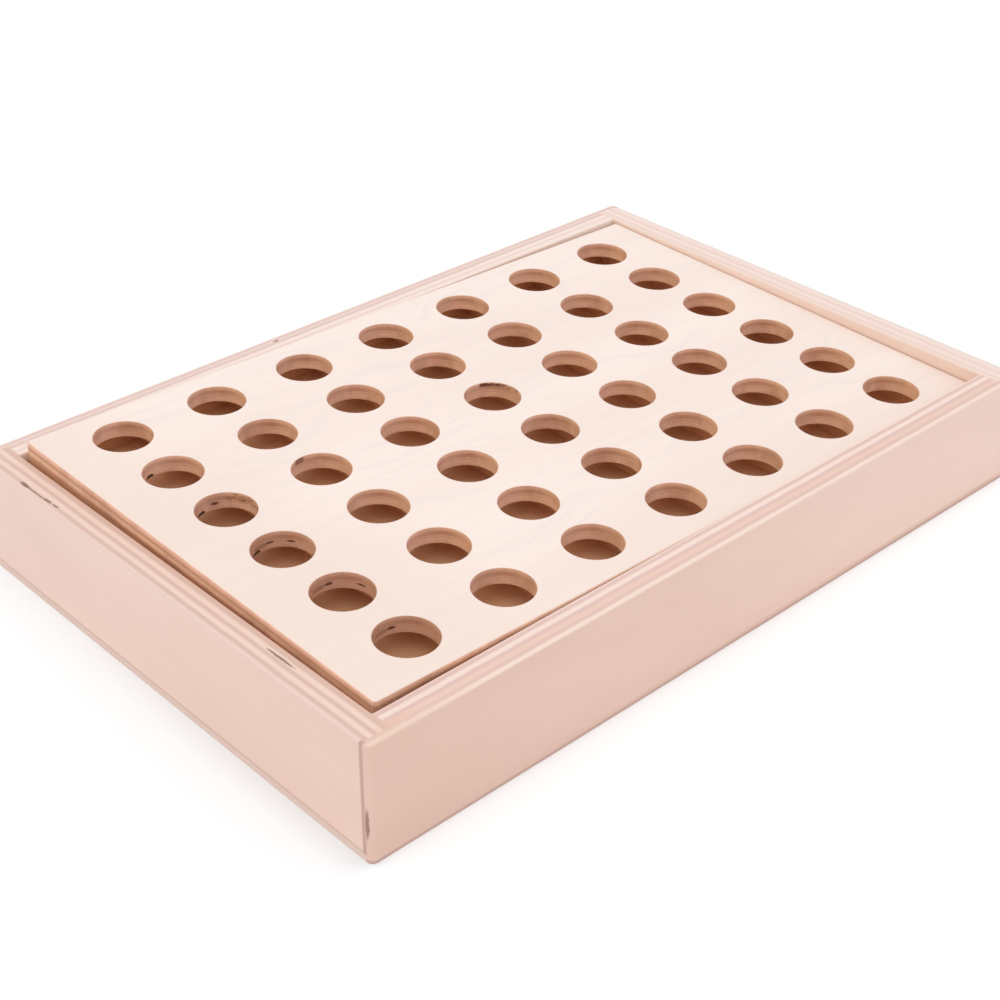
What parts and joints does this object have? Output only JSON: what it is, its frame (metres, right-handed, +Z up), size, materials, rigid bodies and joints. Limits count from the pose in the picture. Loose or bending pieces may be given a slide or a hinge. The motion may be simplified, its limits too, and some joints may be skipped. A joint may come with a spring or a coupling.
{
  "type": "four in a row game",
  "caption": "Four in a row game: a plywood playing board with round sight holes over closed columns, lying on its stacked discs in an open plywood box.",
  "frame": {"origin": "centre of the box's underside", "axes": "+X along the long walls, +Y from the front wall to the back wall, +Z up out of the box's open top"},
  "size_m": [0.262, 0.1758, 0.0415],
  "materials": {
    "wall_ply": "sanded, seven-ply birch plywood, clear matt oil",
    "base_ply": "sanded thin birch plywood",
    "board_ply": "sanded birch plywood, clear matt oil",
    "strip_wood": "planed solid wood strips",
    "light_disc": "turned, clear matt oil",
    "dark_disc": "turned, dark stain"
  },
  "bodies": {
    "box": {"front_wall": "wall_ply", "back_wall": "wall_ply", "left_wall": "wall_ply", "right_wall": "wall_ply", "base_panel": "base_ply", "light_disc_01": "light_disc", "light_disc_02": "light_disc", "light_disc_03": "light_disc", "light_disc_04": "light_disc", "light_disc_05": "light_disc", "light_disc_06": "light_disc", "light_disc_07": "light_disc", "light_disc_08": "light_disc", "light_disc_09": "light_disc", "light_disc_10": "light_disc", "light_disc_11": "light_disc", "light_disc_12": "light_disc", "light_disc_13": "light_disc", "light_disc_14": "light_disc", "light_disc_15": "light_disc", "light_disc_16": "light_disc", "light_disc_17": "light_disc", "light_disc_18": "light_disc", "light_disc_19": "light_disc", "light_disc_20": "light_disc", "light_disc_21": "light_disc", "dark_disc_01": "dark_disc", "dark_disc_02": "dark_disc", "dark_disc_03": "dark_disc", "dark_disc_04": "dark_disc", "dark_disc_05": "dark_disc", "dark_disc_06": "dark_disc", "dark_disc_07": "dark_disc", "dark_disc_08": "dark_disc", "dark_disc_09": "dark_disc", "dark_disc_10": "dark_disc", "dark_disc_11": "dark_disc", "dark_disc_12": "dark_disc", "dark_disc_13": "dark_disc", "dark_disc_14": "dark_disc", "dark_disc_15": "dark_disc", "dark_disc_16": "dark_disc", "dark_disc_17": "dark_disc", "dark_disc_18": "dark_disc", "dark_disc_19": "dark_disc", "dark_disc_20": "dark_disc", "dark_disc_21": "dark_disc"},
    "board": {"face_panel": "board_ply", "back_panel": "board_ply", "left_side_strip": "strip_wood", "right_side_strip": "strip_wood", "bottom_strip": "strip_wood", "divider_1": "strip_wood", "divider_2": "strip_wood", "divider_3": "strip_wood", "divider_4": "strip_wood", "divider_5": "strip_wood", "divider_6": "strip_wood"}
  },
  "joints": [
    {"name": "board_lift", "type": "slide", "parent": "box", "child": "board", "axis": [0, 0, 1], "range_m": [0, 0.06]}
  ]
}
